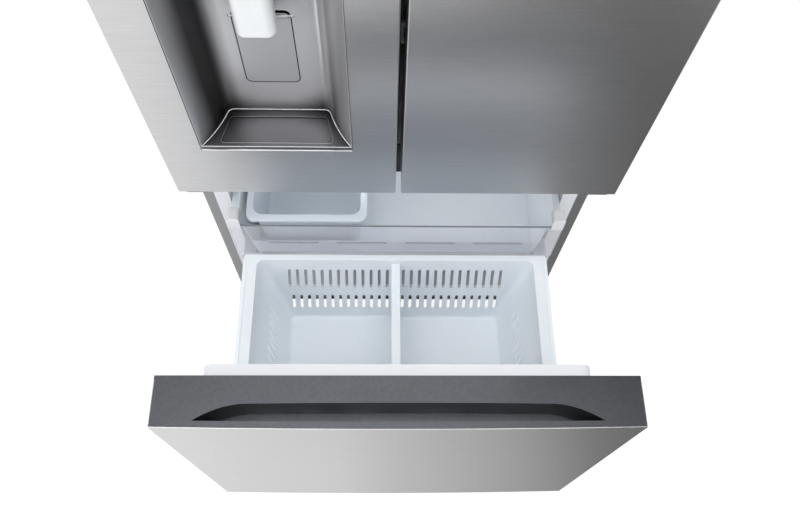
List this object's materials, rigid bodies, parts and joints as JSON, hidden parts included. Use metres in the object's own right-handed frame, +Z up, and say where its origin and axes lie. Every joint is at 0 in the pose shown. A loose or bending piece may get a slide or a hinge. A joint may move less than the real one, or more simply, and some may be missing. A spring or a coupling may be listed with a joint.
{
  "type": "bottom freezer refrigerator",
  "caption": "Free-standing refrigerator with two hinged upper doors, a water dispenser and a pull-out freezer drawer below with a slotted basket.",
  "frame": {"origin": "on the floor, under the middle of the space the refrigerator takes with its drawer open", "axes": "+Z up, +Y towards the wall behind, +X to the right seen from the front"},
  "size_m": [0.911, 1.3474, 1.785],
  "materials": {
    "painted_case": "dark grey painted steel, satin",
    "brushed_steel": "horizontally brushed stainless steel",
    "foam": null,
    "white_liner": "white moulded liner, slightly glossy",
    "basket_plastic": "pale blue-white moulded plastic",
    "dark_plastic": "dark grey moulded plastic",
    "silver_plastic": "silver-grey painted plastic",
    "black_panel": "glossy black panel",
    "nozzle_plastic": "whitish moulded plastic",
    "seal_rubber": "grey magnetic door seal",
    "clear_plastic": "clear moulded plastic",
    "shelf_glass": "toughened glass",
    "galvanised": "galvanised steel sheet",
    "zinc_steel": "zinc-plated steel",
    "black_steel": "black painted steel",
    "black_plastic": "black moulded plastic",
    "fin_aluminium": "bare aluminium",
    "roller_plastic": "hard nylon",
    "lamp_plastic": "frosted diffuser",
    "foam_panel": null
  },
  "bodies": {
    "cabinet": {"cabinet_wrapper": "painted_case", "insulation_foam": "foam", "fresh_food_liner": "white_liner", "freezer_liner": "white_liner", "rear_panel": "galvanised", "centre_crossbar": "painted_case", "base_frame": "galvanised", "toe_grille": "dark_plastic", "machine_cover": "galvanised", "compressor": "black_steel", "condenser_coil": "black_steel", "fan_shroud": "black_plastic", "drain_pan": "black_plastic", "evaporator": "fin_aluminium", "evaporator_cover": "white_liner", "ice_maker": "silver_plastic", "ceiling_lamp": "lamp_plastic", "shelf_frames": "white_liner", "shelf_glass": "shelf_glass", "crisper_frame": "white_liner", "top_hinges": "zinc_steel", "hinge_covers": "dark_plastic", "centre_hinges": "zinc_steel", "outer_rails": "zinc_steel"},
    "freezer_drawer": {"drawer_front_skin": "brushed_steel", "drawer_top_cap": "dark_plastic", "drawer_liner": "foam_panel", "drawer_gasket": "seal_rubber", "inner_rails": "zinc_steel", "freezer_basket": "basket_plastic", "basket_divider": "basket_plastic"},
    "middle_slides": {"middle_rails": "zinc_steel"},
    "upper_drawer": {"upper_drawer_tray": "basket_plastic", "upper_drawer_window": "clear_plastic", "upper_drawer_caps": "white_liner"},
    "ice_bin_body": {"ice_bin": "basket_plastic"},
    "left_door": {"left_door_skin": "brushed_steel", "left_door_caps": "dark_plastic", "left_door_liner": "foam_panel", "left_door_gasket": "seal_rubber", "left_door_bins": "clear_plastic", "dispenser_housing": "silver_plastic", "dispenser_panel": "black_panel", "dispenser_nozzle": "nozzle_plastic"},
    "centre_flap_body": {"centre_flap": "black_plastic"},
    "paddle": {"dispenser_paddle": "silver_plastic"},
    "drip_tray_body": {"drip_tray": "silver_plastic"},
    "right_door": {"right_door_skin": "brushed_steel", "right_door_caps": "dark_plastic", "right_door_liner": "foam_panel", "right_door_gasket": "seal_rubber", "right_door_bins": "clear_plastic"},
    "left_crisper_body": {"left_crisper": "clear_plastic"},
    "right_crisper_body": {"right_crisper": "clear_plastic"},
    "condenser_fan_body": {"condenser_fan": "black_plastic"},
    "evaporator_fan_body": {"evaporator_fan": "black_plastic"},
    "left_leg": {"left_levelling_leg": "zinc_steel"},
    "right_leg": {"right_levelling_leg": "zinc_steel"},
    "left_roller": {"left_rear_roller": "roller_plastic"},
    "right_roller": {"right_rear_roller": "roller_plastic"}
  },
  "joints": [
    {"name": "freezer_drawer_slide", "type": "slide", "parent": "cabinet", "child": "freezer_drawer", "axis": [0, -1, 0], "range_m": [-0.494, 0]},
    {"name": "middle_rails_slide", "type": "slide", "parent": "cabinet", "child": "middle_slides", "axis": [0, -1, 0], "range_m": [-0.247, 0]},
    {"name": "upper_drawer_slide", "type": "slide", "parent": "cabinet", "child": "upper_drawer", "axis": [0, -1, 0], "range_m": [-0.126, 0]},
    {"name": "ice_bin_slide", "type": "slide", "parent": "upper_drawer", "child": "ice_bin_body", "axis": [1, 0, 0], "range_m": [0, 0.4]},
    {"name": "left_door_hinge", "type": "hinge", "parent": "cabinet", "child": "left_door", "pos_m": [-0.4335, -0.11525, 0.775], "axis": [0, 0, -1], "range_deg": [0, 125]},
    {"name": "right_door_hinge", "type": "hinge", "parent": "cabinet", "child": "right_door", "pos_m": [0.4335, -0.11525, 0.775], "axis": [0, 0, 1], "range_deg": [0, 125]},
    {"name": "centre_flap_hinge", "type": "hinge", "parent": "left_door", "child": "centre_flap_body", "pos_m": [-0.08, -0.05825, 0.797], "axis": [0, 0, 1], "range_deg": [0, 90]},
    {"name": "dispenser_paddle_hinge", "type": "hinge", "parent": "left_door", "child": "paddle", "pos_m": [-0.231, -0.08425, 1.158], "axis": [1, 0, 0], "range_deg": [0, 4.5], "stiffness_Nm_per_rad": 1.2, "springref_deg": -2.86},
    {"name": "drip_tray_slide", "type": "slide", "parent": "left_door", "child": "drip_tray_body", "axis": [0, -1, 0], "range_m": [0, 0.06]},
    {"name": "left_crisper_slide", "type": "slide", "parent": "cabinet", "child": "left_crisper_body", "axis": [0, -1, 0], "range_m": [0, 0.201]},
    {"name": "right_crisper_slide", "type": "slide", "parent": "cabinet", "child": "right_crisper_body", "axis": [0, -1, 0], "range_m": [0, 0.201]},
    {"name": "condenser_fan_spin", "type": "hinge", "parent": "cabinet", "child": "condenser_fan_body", "pos_m": [-0.06, 0.55625, 0.1675], "axis": [1, 0, 0], "continuous": true},
    {"name": "evaporator_fan_spin", "type": "hinge", "parent": "cabinet", "child": "evaporator_fan_body", "pos_m": [0, 0.55075, 0.61], "axis": [0, 1, 0], "continuous": true},
    {"name": "left_leg_turn", "type": "hinge", "parent": "cabinet", "child": "left_leg", "pos_m": [-0.4, -0.02525, 0.009], "axis": [0, 0, 1], "continuous": true},
    {"name": "left_roller_spin", "type": "hinge", "parent": "cabinet", "child": "left_roller", "pos_m": [-0.4, 0.62375, 0.016], "axis": [1, 0, 0], "continuous": true},
    {"name": "right_leg_turn", "type": "hinge", "parent": "cabinet", "child": "right_leg", "pos_m": [0.4, -0.02525, 0.009], "axis": [0, 0, 1], "continuous": true},
    {"name": "right_roller_spin", "type": "hinge", "parent": "cabinet", "child": "right_roller", "pos_m": [0.4, 0.62375, 0.016], "axis": [1, 0, 0], "continuous": true}
  ],
  "couplings": [
    {"joint": "middle_rails_slide", "follows": "freezer_drawer_slide", "ratio": 0.5},
    {"joint": "upper_drawer_slide", "follows": "freezer_drawer_slide", "ratio": 0.25506},
    {"joint": "left_crisper_slide", "follows": "left_door_hinge", "m_per_rad": 0.091673},
    {"joint": "right_crisper_slide", "follows": "right_door_hinge", "m_per_rad": 0.091673}
  ]
}
